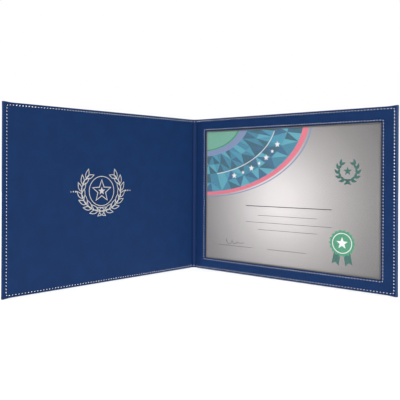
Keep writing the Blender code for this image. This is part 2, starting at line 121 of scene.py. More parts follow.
# Sizes that the frame gives
SKIN_BOX = cover_box("back_cover_skin", BACK)
FRAME_BOX = cover_box("window_frame", BACK)
SHEET_BOX = cover_box("certificate", BACK)
ROW_BOX = cover_box("window_thread", BACK)
FAR = SKIN_BOX[1].x
HEIGHT = SKIN_BOX[1].z
SKIN_TOP = SKIN_BOX[1].y
BOARD_START = cover_box("back_cover_board", BACK)[0].x
LINING_TOP = cover_box("front_lining", FRONT)[1].y
FRAME_START = FRAME_BOX[0].x
FRAME_TOP = FRAME_BOX[1].y
SHEET_TOP = SHEET_BOX[1].y
SPINE_TOP = AXIS_Y + AXIS_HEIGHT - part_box("spine_lining")[0].y / MM

# The rows of stitches. Those along a cover's outer edge lie further in than the others,
# and so does all that is further from the edge than the rim. The window's row beside the
# crease lies further out in the same way.
PITCH = 4.0
SIDE_PITCH = 3.92
WINDOW_PITCH = 3.84
THREAD_TO_EDGE = 3.1
OUTER_ROW_EXTRA = {FRONT: 1.8, BACK: 0.6}
RIM_WIDTH = 1.2
THREAD_TO_WINDOW = 2.6
CREASE_ROW_EXTRA = 1.4
LIP_WIDTH = 0.6
SHIFT_WIDTH = 0.7
CORNER_RADIUS = 2.0
EDGE_RADIUS = 0.8
FIRST_STITCHES = 3
STEPS_PER_STITCH = 4
SEAM_DIP = 0.25
HOLE_DIP = 0.35
# Painted shade: how far the leather in a seam's furrow and holes is darkened, standing in for the shade that
# lies in them
SEAM_PAINTED_SHADE = 0.9

# One stitch. Its share is of the pitch, and it rises and sinks from the face.
STITCH_SHARE = 0.45
STITCH_SLANT = 0.26
THREAD_HALF_WIDTH = 0.45
THREAD_HALF_HEIGHT = 0.34
THREAD_SINK = 0.09
THREAD_DIVE = 0.55
END_THICKNESS = 0.55
PLY_DEPTH = 0.14
PLY_TURNS = 4.2
REACH_VARIES = 0.02
HEIGHT_VARIES = 0.05

# Where the seams start and end, and each stitch is sewn twice, side by side
SEWN_TWICE = {FRONT: ((262.0, 289.0),), BACK: ((2.0, 13.0), (301.0, FAR))}
TWICE_SHIFT = 0.25

# How far the leather is pushed out where it is folded over a cover's corners
CORNER_SWELL = 0.85
SWELL_TO_SIDE = 0.2
SWELL_INSET = 1.5
SWELL_LENGTH = 6.0
SWELL_DEPTH = 2.4

# Layers of the leather, over the cover's outer face
SKIN = 0.7
LINING_BASE = 2.5
POCKET_TOP = 2.8
FRAME_BASE = 4.3
SPINE_BASE = 1.5
GROOVE_BASE = 0.85
GROOVE_TOP = 1.35
SPINE_TURN_TOP = 1.35
GROOVE_TURN_TOP = 0.8
LAYER_GAP = 0.15
EDGE_GAP = 0.3
TURN_IN = 12.0
TURN_IN_BASE = 1.75
BAND_WIDTH = 6.5
RIM_WALL = 5.3

# The window's edges, which lie inside its row of stitches
ROW_TO_WINDOW = 3.0 + (ROW_BOX[1].y - ROW_BOX[0].y) / 2
WINDOW_DROP = 0.5
WINDOW_LESS = 0.5
WINDOW_U = (ROW_BOX[0].x + ROW_TO_WINDOW, ROW_BOX[1].x - ROW_TO_WINDOW - WINDOW_LESS)
WINDOW_Z = (
    ROW_BOX[0].z + ROW_TO_WINDOW - WINDOW_DROP,
    ROW_BOX[1].z - ROW_TO_WINDOW - WINDOW_DROP,
)
# How far the card shows inside the window: its cut edge, widened to stand partly for the frame's soft shadow
# on the sheet, a painted shadow
CARD_SHOWS = 1.2
CARD_VARIES = 0.08

# How many stitches fit along each edge of a cover and of the window
REGULAR_U = (FIRST_STITCHES - 0.5) * PITCH - AXIS_X
LONG_STITCHES = round((FAR - THREAD_TO_EDGE - CORNER_RADIUS - REGULAR_U) / PITCH)
SIDE_STITCHES = round((HEIGHT - 2 * (THREAD_TO_EDGE + CORNER_RADIUS)) / SIDE_PITCH)
ALL_STITCHES = 2 * (FIRST_STITCHES + LONG_STITCHES + 1) + SIDE_STITCHES
ROW_ROOM = 2 * (THREAD_TO_WINDOW - CORNER_RADIUS)
WINDOW_LONG = round((WINDOW_U[1] - WINDOW_U[0] + CREASE_ROW_EXTRA + ROW_ROOM) / WINDOW_PITCH)
WINDOW_SIDE = round((WINDOW_Z[1] - WINDOW_Z[0] + ROW_ROOM) / WINDOW_PITCH)
WINDOW_STITCHES = 2 * (WINDOW_LONG + WINDOW_SIDE) + 4


def levels(*line):
    """A function that goes smoothly from each (place, value) of line to the next."""

    def value_at(place_at):
        if place_at <= line[0][0]:
            return line[0][1]
        for (start, value), (end, following) in zip(line, line[1:]):
            if place_at < end:
                return value + (following - value) * smooth((place_at - start) / (end - start))
        return line[-1][1]

    return value_at


# Heights of the leather's layers along u
TURNED_TOP = levels(
    (-1.9, SPINE_TURN_TOP), (-0.9, GROOVE_TURN_TOP), (2.9, GROOVE_TURN_TOP), (4.4, SKIN_TOP)
)
INNER_BASE = levels(
    (-1.75, SPINE_BASE), (-0.85, GROOVE_BASE), (2.7, GROOVE_BASE), (4.1, LINING_BASE)
)
LINING_FACE = levels(
    (-1.75, SPINE_TOP), (-0.75, GROOVE_TOP), (0.9, GROOVE_TOP), (2.4, LINING_TOP)
)
INTO_GROOVE = ((-1.75, SPINE_TOP), (-0.85, GROOVE_TOP), (2.5, GROOVE_TOP))
POCKET_FACE = levels(*INTO_GROOVE, (4.1, POCKET_TOP))
BACK_THREAD_FACE = levels(*INTO_GROOVE, (4.9, FRAME_TOP))
FRAME_FACE = levels((0.0, FRAME_TOP))

# The outer face, with its furrow along each crease
OUTER_FACE = levels((-1.3, 0.0), (0.0, 0.35), (0.7, 0.35), (2.5, 0.0))

# Painted shade: how much the leather is darkened at each x across the creases, standing in for the shade in
# the gutter, on the spine between the creases, on the frame's rail beside the crease and, outside, in the
# creases' furrows
OUTER_CREASE_PAINTED_SHADE = levels((1.6, 0.0), (2.9, 0.5), (4.0, 0.5), (5.2, 0.0))
CREASE_PAINTED_SHADE = levels(
    (-4.6, 0.0),
    (-3.5, 1.0),
    (-2.6, 0.85),
    (0.5, 0.6),
    (2.2, 0.1),
    (4.2, 0.1),
    (5.4, 0.45),
    (9.8, 0.5),
    (11.4, 0.0),
)

# Painted highlight: how much the leather is lightened at each distance from a cover's outer edge, where its
# rounded edge catches the light, far more on the back cover
EDGE_PAINTED_HIGHLIGHT = {FRONT: levels((0.0, 0.15), (1.2, 0.0)), BACK: levels((0.5, 1.0), (2.2, 0.0))}


# Painted shade in the outer face's furrows, alike on both sides of the spine
def outer_crease_painted_shade(x):
    return OUTER_CREASE_PAINTED_SHADE(abs(x))


# Lines along the edges


def edge_point(side, count, inset):
    """(u, z) at an inset from a cover's three free edges.

    count is how many stitches along it lies, from the middle of the spine at the tail,
    round the outer edge, to the middle of the spine at the head. Along the outer edge
    the row of stitches, and all that lies further in, has a wider inset.
    """
    if count > ALL_STITCHES / 2:
        u, z = edge_point(side, ALL_STITCHES - count, inset)
        return u, HEIGHT - z
    if count <= FIRST_STITCHES:
        return (count - 0.5) * PITCH - AXIS_X, inset
    count -= FIRST_STITCHES
    extra = OUTER_ROW_EXTRA[side] * smooth((inset - RIM_WIDTH) / SHIFT_WIDTH)
    outer_u = FAR - inset - extra
    radius = EDGE_RADIUS + (CORNER_RADIUS - EDGE_RADIUS) * smooth(inset / THREAD_TO_EDGE)
    bend_u = outer_u - radius
    if count <= LONG_STITCHES:
        return REGULAR_U + (bend_u - REGULAR_U) * count / LONG_STITCHES, inset
    count -= LONG_STITCHES
    low = inset + radius
    if count <= 1:
        angle = math.radians(90 * (count - 1))
        return bend_u + radius * math.cos(angle), low + radius * math.sin(angle)
    return outer_u, low + (HEIGHT - 2 * low) * (count - 1) / SIDE_STITCHES


def window_point(count, outset):
    """(u, z) at a distance outside the window's edge, count stitches round it.

    Beside the crease the row of stitches, and all that lies further out, is further away.
    """
    extra = CREASE_ROW_EXTRA * smooth((outset - LIP_WIDTH) / SHIFT_WIDTH)
    crease_outset = outset + extra
    u0 = WINDOW_U[0] - crease_outset + CORNER_RADIUS
    u1 = WINDOW_U[1] + outset - CORNER_RADIUS
    z0 = WINDOW_Z[0] - outset + CORNER_RADIUS
    z1 = WINDOW_Z[1] + outset - CORNER_RADIUS
    centres = [Vector(centre) for centre in ((u0, z0), (u1, z0), (u1, z1), (u0, z1))]
    count %= WINDOW_STITCHES
    for edge in range(4):
        outward = math.radians(90 * edge - 90)
        along_edge = WINDOW_SIDE if edge % 2 else WINDOW_LONG
        end = centres[(edge + 1) % 4]
        if count <= along_edge:
            centre = centres[edge].lerp(end, count / along_edge)
            break
        count -= along_edge
        if count <= 1:
            centre = end
            outward += math.radians(90 * count)
            break
        count -= 1
    spot = centre + Vector((math.cos(outward), math.sin(outward))) * CORNER_RADIUS
    return spot.x, spot.y


def edge_counts(fine):
    """Where the cross-sections of a cover's leather lie, and how many are near the crease.

    fine lists the u of those near the crease. The rest follow the stitches.
    """
    near = [(u + AXIS_X) / PITCH + 0.5 for u in fine]
    first = math.floor(near[-1] * STEPS_PER_STITCH) + 1
    last = ALL_STITCHES * STEPS_PER_STITCH - first
    middle = [n / STEPS_PER_STITCH for n in range(first, last + 1)]
    return near + middle + [ALL_STITCHES - count for count in reversed(near)], len(near)


# The u of the cross-sections near the crease, of the covers' leather and of the frame's
FINE_STEP = 0.2
CREASE_LINES = [-AXIS_X, -2.9, -2.3] + [-1.8 + FINE_STEP * n for n in range(38)]
FRAME_STEPS = (0.0, 0.06, 0.16, 0.32, 0.6, 0.9, 2.2, 4.0, 5.2, 6.1)
FRAME_LINES = [FRAME_START + step for step in FRAME_STEPS]


def hollow(count):
    """How deep the seam lies, deeper at each hole that the needle made."""
    hole = max(0.0, math.cos(2 * math.pi * count))
    return SEAM_DIP + HOLE_DIP * hole * hole


# Profiles of the leather's edges. Each point is (inset, w, dip), and the dip is the share
# of the seam's depth by which a row of stitches pulls it in.
SEAM_SWELL = 0.03


def seam(w, out=1, at=THREAD_TO_EDGE):
    """The shallow furrow that a row of stitches pulls into a face that looks out."""
    swell = SEAM_SWELL * out
    return [
        (at - 1.2, w + swell, 0.0),
        (at - 0.55, w, 0.4 * out),
        (at, w, 1.0 * out),
        (at + 0.55, w, 0.4 * out),
        (at + 1.2, w + swell, 0.0),
        (at + 2.2, w + swell / 3, 0.0),
        (at + 3.7, w, 0.0),
    ]


def seamless(*points):
    """The points of a profile that no stitches pull in, each given as (inset, w)."""
    return [(inset, w, 0.0) for inset, w in points]


OUTER_FOLD = seamless(
    (1.1, SKIN_TOP),
    (0.45, SKIN_TOP - 0.08),
    (0.12, SKIN_TOP - 0.3),
    (0.0, SKIN_TOP - 0.65),
    (0.0, SKIN - 0.01),
    (0.1, 0.4),
    (0.32, 0.15),
    (0.75, 0.02),
)
TURNED_IN = seamless(
    (TURN_IN + 0.3, SKIN),
    (SKIN, SKIN),
    (SKIN, TURN_IN_BASE),
    (TURN_IN, TURN_IN_BASE),
    (TURN_IN, SKIN_TOP),
)
SKIN_PROFILE = TURNED_IN + OUTER_FOLD + seam(0.0, out=-1)
LINING_EDGE = seamless(
    (BAND_WIDTH, LINING_BASE),
    (EDGE_GAP + 0.2, LINING_BASE),
    (EDGE_GAP + 0.04, LINING_BASE + 0.06),
    (EDGE_GAP, LINING_BASE + 0.18),
    (EDGE_GAP + 0.08, LINING_TOP - 0.36),
    (EDGE_GAP + 0.32, LINING_TOP - 0.21),
    (1.0, LINING_TOP - 0.09),
    (1.5, LINING_TOP - 0.01),
)
LINING_PROFILE = LINING_EDGE + seam(LINING_TOP)
POCKET_PROFILE = seamless(
    (BAND_WIDTH, LINING_BASE),
    (EDGE_GAP + 0.1, LINING_BASE),
    (EDGE_GAP, LINING_BASE + 0.08),
    (EDGE_GAP, POCKET_TOP - 0.08),
    (EDGE_GAP + 0.1, POCKET_TOP),
    (BAND_WIDTH, POCKET_TOP),
)
RIM_BASE = POCKET_TOP + LAYER_GAP
FRAME_EDGE = seamless(
    (BAND_WIDTH, FRAME_BASE),
    (RIM_WALL, FRAME_BASE),
    (RIM_WALL, RIM_BASE),
    (EDGE_GAP + 0.2, RIM_BASE),
    (EDGE_GAP + 0.04, RIM_BASE + 0.1),
    (EDGE_GAP, RIM_BASE + 0.3),
    (EDGE_GAP, FRAME_TOP - 0.75),
    (EDGE_GAP + 0.08, FRAME_TOP - 0.5),
    (EDGE_GAP + 0.32, FRAME_TOP - 0.28),
    (1.0, FRAME_TOP - 0.12),
    (1.5, FRAME_TOP - 0.02),
)
FRAME_PROFILE = FRAME_EDGE + seam(FRAME_TOP)
WINDOW_EDGE = seamless(
    (6.7, FRAME_BASE),
    (0.35, FRAME_BASE),
    (0.08, FRAME_BASE + 0.08),
    (0.0, FRAME_BASE + 0.23),
    (0.03, FRAME_TOP - 0.23),
    (0.18, FRAME_TOP - 0.08),
    (0.5, FRAME_TOP),
)
WINDOW_PROFILE = WINDOW_EDGE + seam(FRAME_TOP, at=THREAD_TO_WINDOW)


# Meshes


def new_object(name, bm, materials, smooth_deg=40.0):
    """An object from bm, shaded smooth up to that angle between its faces."""
    bmesh.ops.recalc_face_normals(bm, faces=bm.faces)
    mesh = bpy.data.meshes.new(name)
    bm.to_mesh(mesh)
    bm.free()
    mesh.shade_smooth()
    mesh.set_sharp_from_angle(angle=math.radians(smooth_deg))
    for material in materials:
        mesh.materials.append(material)
    obj = bpy.data.objects.new(name, mesh)
    bpy.context.scene.collection.objects.link(obj)
    return obj


def corner_swell(u, z, inset):
    """Pushes the leather out a little where it is folded over the cover's corners."""
    corner_z = 0.0 if z < HEIGHT / 2 else HEIGHT
    away = math.hypot(FAR - SWELL_INSET - u, corner_z - z) / SWELL_LENGTH
    push = CORNER_SWELL * max(0.0, 1 - inset / SWELL_DEPTH) * math.exp(-away * away)
    return u + SWELL_TO_SIDE * push, z + (push if corner_z else -push)


def leather_point(bm, side, u, w, z, dip, painted_shade):
    """A vertex of leather that keeps how much painted shade darkens it at a crease or seam, and how much a
    painted highlight lightens it at a cover's outer edge.
    """
    floats = bm.verts.layers.float
    shade = floats.get("painted_shade") or floats.new("painted_shade")
    wear_and_highlight = floats.get("edge_painted_highlight") or floats.new("edge_painted_highlight")
    vertex = bm.verts.new(place(side, u, w, z))
    vertex[shade] = max(painted_shade(vertex.co.x / MM), SEAM_PAINTED_SHADE * math.sqrt(abs(dip)))
    vertex[wear_and_highlight] = EDGE_PAINTED_HIGHLIGHT[side](FAR - u)
    return vertex


def edge_rings(bm, side, profile, shape, counts, painted_shade):
    """A ring of vertices along the profile at each count, joined by faces."""
    rings = []
    for count in counts:
        station_u = edge_point(side, count, 0.0)[0]
        ring = []
        for inset, w, dip in profile:
            inset, w = shape(station_u, inset, w)
            u, z = corner_swell(*edge_point(side, count, inset), inset)
            w -= dip * hollow(count)
            ring.append(leather_point(bm, side, u, w, z, dip, painted_shade))
        rings.append(ring)
    join_rings(bm, rings)
    return rings


def join_rings(bm, rings):
    """Faces between each open ring of vertices and the next."""
    for ring, following in zip(rings, rings[1:]):
        for n in range(len(ring) - 1):
            bm.faces.new((ring[n], ring[n + 1], following[n + 1], following[n]))


def band(bm, loop, following):
    """Faces between two closed loops of vertices."""
    faces = []
    for n in range(len(loop)):
        m = (n + 1) % len(loop)
        faces.append(bm.faces.new((loop[n], loop[m], following[m], following[n])))
    return faces


def close_near_crease(bm, rings, near):
    """Fills both wide faces from the tail's cross-sections to the head's, and the end."""
    for n in (0, -1):
        for tail in range(near):
            head = len(rings) - 1 - tail
            around = (rings[tail], rings[tail + 1], rings[head - 1], rings[head])
            bm.faces.new([ring[n] for ring in around])
    bm.faces.new(rings[0] + rings[-1][::-1])


def cover_sheet(name, side, profile, shape, material, stands_for, painted_shade=CREASE_PAINTED_SHADE):
    """A sheet of leather from the middle of the spine to a cover's three free edges."""
    bm = bmesh.new()
    counts, near = edge_counts(CREASE_LINES)
    rings = edge_rings(bm, side, profile, shape, counts, painted_shade)
    close_near_crease(bm, rings, near)
    for n in (0, -1):
        bm.faces.new([ring[n] for ring in rings[near : len(rings) - near]])
    obj = new_object(name, bm, [material])
    bend_with_crease(obj, side)
    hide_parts(*stands_for)
    return obj


def bend_with_crease(obj, side):
    """Lets a piece bend with the crease between the spine and a cover."""
    cover = "front_cover" if side == FRONT else "back_cover"
    axis = Vector((side * AXIS_X, AXIS_Y, 0.0)) * MM
    along = Vector((side * math.cos(LEAN / 2), -math.sin(LEAN / 2), 0.0)) * BEND * MM
    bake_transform(obj, "spine", cover, start=axis - along, end=axis + along)


# The leather

# How much of the turn-in is left beside the board, and how the frame's free edge is rounded
TURN_IN_LEFT = 0.02
FREE_EDGE_LENGTH = 0.33
FREE_EDGE_LEAST = 0.2


def skin_shape(u, inset, w):
    """Lowers the turned-in part by the crease, where it is only a narrow wall."""
    if w < SKIN:
        w += OUTER_FACE(u) * (1 - w / SKIN)
    else:
        w = SKIN + (w - SKIN) * (TURNED_TOP(u) - SKIN) / (SKIN_TOP - SKIN)
        if u < BOARD_START and inset > SKIN:
            inset = SKIN + (inset - SKIN) * TURN_IN_LEFT
    return inset, w


def inner_shape(top, face):
    """Takes a lining of that top down into the groove and over the spine, up to that face."""

    def shape(u, inset, w):
        share = (w - LINING_BASE) / (top - LINING_BASE)
        return inset, INNER_BASE(u) + share * (face(u) - INNER_BASE(u))

    return shape


def frame_shape(u, inset, w):
    """Rounds the frame's free edge beside the crease."""
    middle = (FRAME_BASE + FRAME_TOP) / 2
    if w >= FRAME_BASE:
        back = 1 - min(1.0, max(0.0, (u - FRAME_START) / FREE_EDGE_LENGTH))
        w = middle + (w - middle) * max(FREE_EDGE_LEAST, math.sqrt(1 - back * back))
    return inset, w


def build_covers(leather, lining):
    """One sheet of leather over each cover's outer face and one over its inner face."""
    for name, side in (("front", FRONT), ("back", BACK)):
        outer = cover_sheet(
            f"{name}_outer_leather",
            side,
            SKIN_PROFILE,
            skin_shape,
            leather,
            (f"{name}_cover_skin", "spine_skin"),
            outer_crease_painted_shade,
        )
    lining_shape = inner_shape(LINING_TOP, LINING_FACE)
    pocket_shape = inner_shape(POCKET_TOP, POCKET_FACE)
    for name, side, profile, shape, cad_lining in (
        ("front", FRONT, LINING_PROFILE, lining_shape, "front_lining"),
        ("back", BACK, POCKET_PROFILE, pocket_shape, "pocket_lining"),
    ):
        stands_for = (cad_lining, "spine_lining")
        inner = cover_sheet(f"{name}_inner_leather", side, profile, shape, lining, stands_for)


def build_frame(leather):
    """The window's frame: one strip along the cover's edges, one round the window."""
    bm = bmesh.new()
    counts, near = edge_counts(FRAME_LINES)
    rings = edge_rings(bm, BACK, FRAME_PROFILE, frame_shape, counts, CREASE_PAINTED_SHADE)
    close_near_crease(bm, rings, near)
    window = []
    for step in range(WINDOW_STITCHES * STEPS_PER_STITCH):
        count = step / STEPS_PER_STITCH
        ring = []
        for outset, w, dip in WINDOW_PROFILE:
            u, z = window_point(count, outset)
            w -= dip * hollow(count)
            ring.append(leather_point(bm, BACK, u, w, z, dip, CREASE_PAINTED_SHADE))
        window.append(ring)
    join_rings(bm, window + window[:1])
    for n in (0, -1):
        outline = [ring[n] for ring in rings[near : len(rings) - near]]
        fill_round_hole(bm, outline, [ring[n] for ring in window])
    obj = new_object("window_frame_leather", bm, [leather])
    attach(obj, "back_cover")
    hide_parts("window_frame")


# How the triangulation is called for: only inside the loops, and how near two points are one
INSIDE_LOOPS = 1
SAME_SPOT = 1e-5


def fill_round_hole(bm, outline, hole):
    """Triangles between an outline and the hole in it, both flat loops of vertices."""
    corners = outline + hole
    spots = [unrolled(BACK, corner.co) for corner in corners]
    flat = [Vector((u, z)) for u, _, z in spots]
    loops = [list(range(len(outline))), list(range(len(outline), len(corners)))]
    result = delaunay_2d_cdt(flat, [], loops, INSIDE_LOOPS, SAME_SPOT)
    triangles, origins, lies_in = result[2], result[3], result[5]
    for triangle, loops_around in zip(triangles, lies_in):
        if loops_around == [0]:
            bm.faces.new([corners[origins[n][0]] for n in triangle])


def build_window_card(card):
    """Thin card behind the frame. Its cut edge, a little uneven, shows inside the window, wider and darker
    than a bare cut edge: in part a painted shadow of the frame on the sheet.
    """
    low, high = cover_box("window_backing", BACK)
    chance = random.Random(40)
    outline = [(low.x, low.z), (high.x, low.z), (high.x, high.z), (low.x, high.z)]
    hole = []
    for step in range(2 * WINDOW_STITCHES):
        cut = chance.uniform(-CARD_VARIES, CARD_VARIES) - CARD_SHOWS
        hole.append(window_point(step / 2, cut))
    bm = bmesh.new()
    faces = []
    for w in (low.y, high.y):
        loops = []
        for loop in (outline, hole):
            loops.append([bm.verts.new(place(BACK, u, w, z)) for u, z in loop])
        fill_round_hole(bm, *loops)
        faces.append(loops)
    for under, over in zip(*faces):
        band(bm, under, over)
    obj = new_object("window_card", bm, [card])
    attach(obj, "back_cover")
    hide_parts("window_backing")


# The stitches


def thread_loop(bm, side, row, face, out, at, t, shift, lift, twist, sides):
    """The loop of vertices round a stitch at the share t of its length."""
    u, z = row(at)
    ahead_u, ahead_z = row(at + 0.02)
    along = Vector((ahead_u - u, ahead_z - z)).normalized()
    across = Vector((along.y, -along.x))
    slant = side * out * STITCH_SLANT * (1 - 2 * t)
    arch = math.sin(math.pi * t) ** 0.4
    lift -= THREAD_SINK + THREAD_DIVE * (1 - arch)
    taper = END_THICKNESS + (1 - END_THICKNESS) * arch
    loop = []
    for n in range(sides):
        angle = 2 * math.pi * n / sides
        ply = math.cos(2 * (angle - twist - PLY_TURNS * math.pi * t))
        size = taper * (1 - PLY_DEPTH + PLY_DEPTH * ply)
        step = shift + slant + THREAD_HALF_WIDTH * size * math.cos(angle)
        w = face(u) + out * (lift + THREAD_HALF_HEIGHT * size * math.sin(angle))
        loop.append(bm.verts.new(place(side, u + across.x * step, w, z + across.y * step)))
    return loop


def add_thread(bm, side, row, face, out, count, shift, chance, rings, sides):
    """One stitch as a closed, twisted tube that slants a little and dives into its holes."""
    reach = STITCH_SHARE / 2 + chance.uniform(-REACH_VARIES, REACH_VARIES)
    lift = chance.uniform(-HEIGHT_VARIES, 0.0)
    twist = chance.uniform(0, math.pi)
    loops = []
    for n in range(rings):
        t = n / (rings - 1)
        at = count + 0.5 + reach * (2 * t - 1)
        loops.append(thread_loop(bm, side, row, face, out, at, t, shift, lift, twist, sides))
    for loop, following in zip(loops, loops[1:]):
        band(bm, loop, following)
    bm.faces.new(loops[0][::-1])
    bm.faces.new(loops[-1])


def sewn_twice(side, u, z):
    """Whether a stitch is one of those at the head where the seam starts or ends."""
    if z < HEIGHT / 2:
        return False
    return any(start < u < end for start, end in SEWN_TWICE[side])


def stitch_row(name, side, row, face, out, numbers, material, seed, rings=9, sides=8):
    """The stitches with those numbers along a row, as one object.

    row gives (u, z) at a count of stitches and face the w of the leather there. out is 1
    on the inner side and -1 on the outer. Each stitch has rings loops of sides vertices.
    """
    chance = random.Random(seed)
    bm = bmesh.new()
    for count in numbers:
        u, z = row(count + 0.5)
        shifts = (-TWICE_SHIFT, TWICE_SHIFT) if sewn_twice(side, u, z) else (0.0,)
        for shift in shifts:
            add_thread(bm, side, row, face, out, count, shift, chance, rings, sides)
    obj = new_object(name, bm, [material], smooth_deg=70.0)
    return obj


def window_row(count):
    return window_point(count, THREAD_TO_WINDOW)


def build_stitches(thread):
    """Each cover's rows on its inner and its outer face, and the window's row."""
    inner_faces = {"front": LINING_FACE, "back": BACK_THREAD_FACE}
    for number, (name, side) in enumerate((("front", FRONT), ("back", BACK))):

        def edge_row(count, side=side):
            return edge_point(side, count, THREAD_TO_EDGE)

        # The stitch that crosses the spine's middle belongs to the back half
        first = 1 if side == FRONT else 0
        numbers = range(first, ALL_STITCHES - first)
        for where, face, out, seed, detail in (
            ("inner", inner_faces[name], 1, 10 + number, (9, 8)),
            ("outer", OUTER_FACE, -1, 20 + number, (7, 6)),
        ):
            piece = f"{name}_{where}_stitches"
            obj = stitch_row(piece, side, edge_row, face, out, numbers, thread, seed, *detail)
            bend_with_crease(obj, side)
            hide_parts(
                f"{name}_{where}_thread",
                f"spine_head_{where}_thread",
                f"spine_tail_{where}_thread",
            )
    numbers = range(WINDOW_STITCHES)
    window = stitch_row(
        "window_stitches", BACK, window_row, FRAME_FACE, 1, numbers, thread, seed=30
    )
    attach(window, "back_cover")
    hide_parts("window_thread")


# Flat figures in foil and ink


PRINT_THICKNESS = 0.02
MITRE_LIMIT = 0.5


class Figures:
    """Thin closed plates that lie on a cover's face, or on the sheet, as print does."""

    def __init__(self, side, face):
        self.side = side
        self.low = face - PRINT_THICKNESS
        self.face = face
        self.bm = bmesh.new()
        self.materials = []

    def slot_of(self, material):
        if material not in self.materials:
            self.materials.append(material)
        return self.materials.index(material)

    def close(self, sections, material):
        """Faces between four-cornered sections, round and back to the first."""
        index = self.slot_of(material)
        for section, following in zip(sections, sections[1:]):
            for face in band(self.bm, section, following):
                face.material_index = index

    def plate(self, outline, material, over=PRINT_THICKNESS):
        """A plate with that outline, a list of (u, z)."""
        index = self.slot_of(material)
        tops, bottoms = [], []
        for u, z in outline:
            tops.append(self.bm.verts.new(place(self.side, u, self.face + over, z)))
            bottoms.append(self.bm.verts.new(place(self.side, u, self.low, z)))
        faces = [self.bm.faces.new(tops), self.bm.faces.new(bottoms[::-1])]
        for face in faces + band(self.bm, bottoms, tops):
            face.material_index = index

    def line(self, points, width, material, over=PRINT_THICKNESS, closed=False):
        """A stroke of one width along points, a list of (u, z)."""
        sections = []
        count = len(points)
        for n, (u, z) in enumerate(points):
            before = points[(n - 1) % count] if closed or n > 0 else points[n]
            after = points[(n + 1) % count] if closed or n < count - 1 else points[n]
            here = Vector((u, z))
            ways = [here - Vector(before), Vector(after) - here]
            ways = [way.normalized() for way in ways if way.length > 1e-6]
            along = (ways[0] + ways[-1]).normalized()
            reach = width / 2 / max(MITRE_LIMIT, along.dot(ways[0]))
            off = Vector((-along.y, along.x)) * reach
            top = self.face + over
            section = []
            for share, w in ((1, self.low), (-1, self.low), (-1, top), (1, top)):
                spot = place(self.side, u + share * off.x, w, z + share * off.y)
                section.append(self.bm.verts.new(spot))
            sections.append(section)
        if closed:
            self.close(sections + sections[:1], material)
            return
        self.close(sections, material)
        index = self.slot_of(material)
        self.bm.faces.new(sections[0][::-1]).material_index = index
        self.bm.faces.new(sections[-1]).material_index = index

    def finish(self, name, body):
        """The object with all the figures, riding on that body."""
        obj = new_object(name, self.bm, self.materials, smooth_deg=20.0)
        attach(obj, body)
        return obj


def spot_at(centre, reach, angle, flat=1.0):
    """(u, z) at a distance and angle from a centre, with its height flattened."""
    return centre[0] + reach * math.cos(angle), centre[1] + flat * reach * math.sin(angle)


def round_points(centre, radius, start=0.0, end=360.0, steps=48, flat=1.0):
    """Points round an ellipse from one angle to another, in degrees."""
    points = []
    for n in range(steps):
        share = n / steps if abs(end - start) >= 360 else n / (steps - 1)
        angle = math.radians(start + (end - start) * share)
        points.append(spot_at(centre, radius, angle, flat))
    return points


def star_points(centre, radius, tips=5, depth=0.42):
    """A star whose inner corners lie at the share depth of its radius."""
    points = []
    for n in range(2 * tips):
        reach = radius if n % 2 == 0 else radius * depth
        angle = math.radians(90 + 180 * n / tips)
        points.append(spot_at(centre, reach, angle))
    return points


def leaf_points(root, direction_deg, length, width):
    """A pointed leaf that grows from its root and is widest a little below its middle."""
    angle = math.radians(direction_deg)
    along = Vector((math.cos(angle), math.sin(angle)))
    across = Vector((-along.y, along.x))
    sides = ([], [])
    for n in range(1, 8):
        share = n / 8
        half = width / 2 * math.sin(math.pi * share ** 0.8)
        middle = Vector(root) + along * length * share
        sides[0].append(tuple(middle + across * half))
        sides[1].append(tuple(middle - across * half))
    tip = Vector(root) + along * length
    return [tuple(root)] + sides[0] + [tuple(tip)] + sides[1][::-1]


# A laurel branch in degrees: where it starts, how far it goes, and how its leaves turn
BRANCH_START = 262
BRANCH_SWEEP = 137.6
LEAF_TURNS = (24, -30)


def wreath_leaves(centre, radius, leaves, length, width, flat=1.0):
    """The leaves of two laurel branches that meet below the centre."""
    for way in (1, -1):
        for n in range(leaves):
            around = BRANCH_START + BRANCH_SWEEP * n / (leaves - 1)
            if way == -1:
                around = 540 - around
            root = spot_at(centre, radius, math.radians(around), flat)
            heading = around + way * 90
            for turn in LEAF_TURNS:
                yield leaf_points(root, heading - way * turn, length, width)


# The emblem: its centre as (u, z), its strokes, its radii, its leaves' length and width,
# where each branch starts and ends, in degrees from its foot, and the dots at its sides
EMBLEM_CENTRE = (168.4, 122.3)
EMBLEM_STROKE = 0.95
EMBLEM_STAR_STROKE = 1.15
EMBLEM_STAR = 15.0
EMBLEM_INNER_STAR = 5.6
EMBLEM_RING = 19.5
EMBLEM_WREATH = 31.0
EMBLEM_FLATNESS = 0.86
EMBLEM_LEAVES = 8
EMBLEM_LEAF = (12.5, 4.8)
BRANCH_REACH = (4, 140)
OVER_LEAVES = 0.024
DOTS_START = 39.5
DOTS_STEP = 3.6
DOT_RADII = (1.15, 0.95, 0.75)


